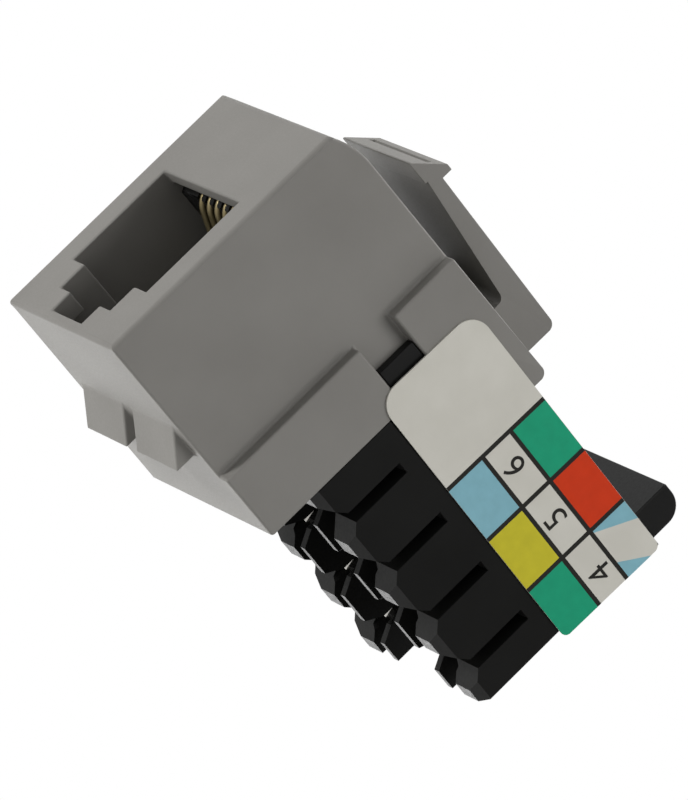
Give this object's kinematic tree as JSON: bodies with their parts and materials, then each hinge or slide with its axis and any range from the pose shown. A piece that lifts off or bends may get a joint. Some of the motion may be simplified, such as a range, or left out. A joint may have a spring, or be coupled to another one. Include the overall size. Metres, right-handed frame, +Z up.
{
  "type": "modular keystone jack",
  "caption": "Snap-in modular jack for a wall plate: stepped plug port with spring wires, sprung top latch, slotted punch-down towers behind and a colour-coded wiring label.",
  "frame": {"origin": "centre of the port face, where the plug goes in", "axes": "+Y from the port face back to the punch-down block, +Z up towards the latch, +X to the label's side"},
  "size_m": [0.0159, 0.0301, 0.0221],
  "materials": {
    "grey_plastic": "fine moulded satin",
    "black_plastic": "smooth moulded, slight gloss",
    "board_laminate": "solder mask",
    "label_film": "printed paper film",
    "gold_wire": "gold-plated spring wire",
    "tinned_blade": "tin-plated bronze"
  },
  "bodies": {
    "jack": {"housing": "grey_plastic", "rear_cover": "black_plastic", "tower_block": "black_plastic", "contact_carrier": "black_plastic", "circuit_board": "board_laminate", "wiring_label": "label_film", "spring_contact_1": "gold_wire", "spring_contact_2": "gold_wire", "spring_contact_3": "gold_wire", "spring_contact_4": "gold_wire", "spring_contact_5": "gold_wire", "spring_contact_6": "gold_wire", "idc_contact_1": "tinned_blade", "idc_contact_2": "tinned_blade", "idc_contact_3": "tinned_blade", "idc_contact_4": "tinned_blade", "idc_contact_5": "tinned_blade", "idc_contact_6": "tinned_blade"},
    "latch": {"top_latch": "grey_plastic"}
  },
  "joints": [
    {"name": "latch_flex", "type": "hinge", "parent": "jack", "child": "latch", "pos_m": [0, 0.0166, 0.00835], "axis": [1, 0, 0], "range_deg": [0, 10], "stiffness_Nm_per_rad": 0.3}
  ]
}
